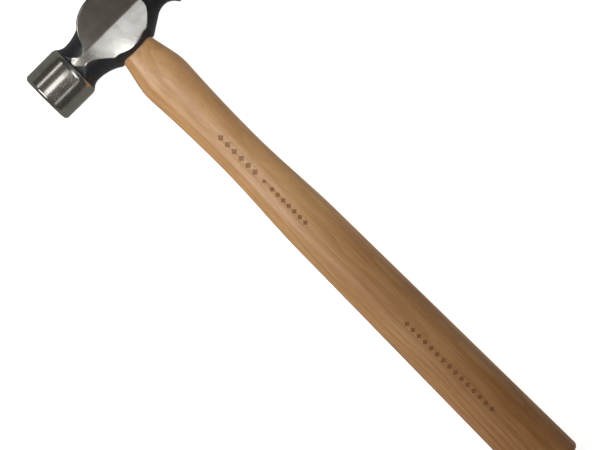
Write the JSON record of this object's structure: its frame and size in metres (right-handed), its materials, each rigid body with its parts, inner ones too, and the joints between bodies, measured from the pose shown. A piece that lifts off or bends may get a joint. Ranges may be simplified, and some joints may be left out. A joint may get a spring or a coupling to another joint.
{
  "type": "ball peen hammer",
  "caption": "Hand hammer with a flat round striking face, a ball peen, ground cheeks and a hickory handle wedged in the head's eye, for riveting and shaping metal.",
  "frame": {"origin": "centre of the flat striking face", "axes": "+X along the head's axis from the striking face to the ball; the handle runs toward -Y and the crown of the head faces +Y; +Z out of one ground cheek, so the hammer lies on its side"},
  "size_m": [0.1068, 0.3568, 0.0314],
  "materials": {
    "head_steel": "ground and polished face, cheeks and ball, with black enamel in the necks",
    "hickory": "clear lacquer",
    "wedge_wood": "raw sawn end grain",
    "wedge_steel": "sheared and ribbed mild steel"
  },
  "bodies": {
    "root": {"head": "head_steel", "handle": "hickory", "wooden_wedge": "wedge_wood", "steel_wedge_face_side": "wedge_steel", "steel_wedge_peen_side": "wedge_steel"}
  },
  "joints": []
}
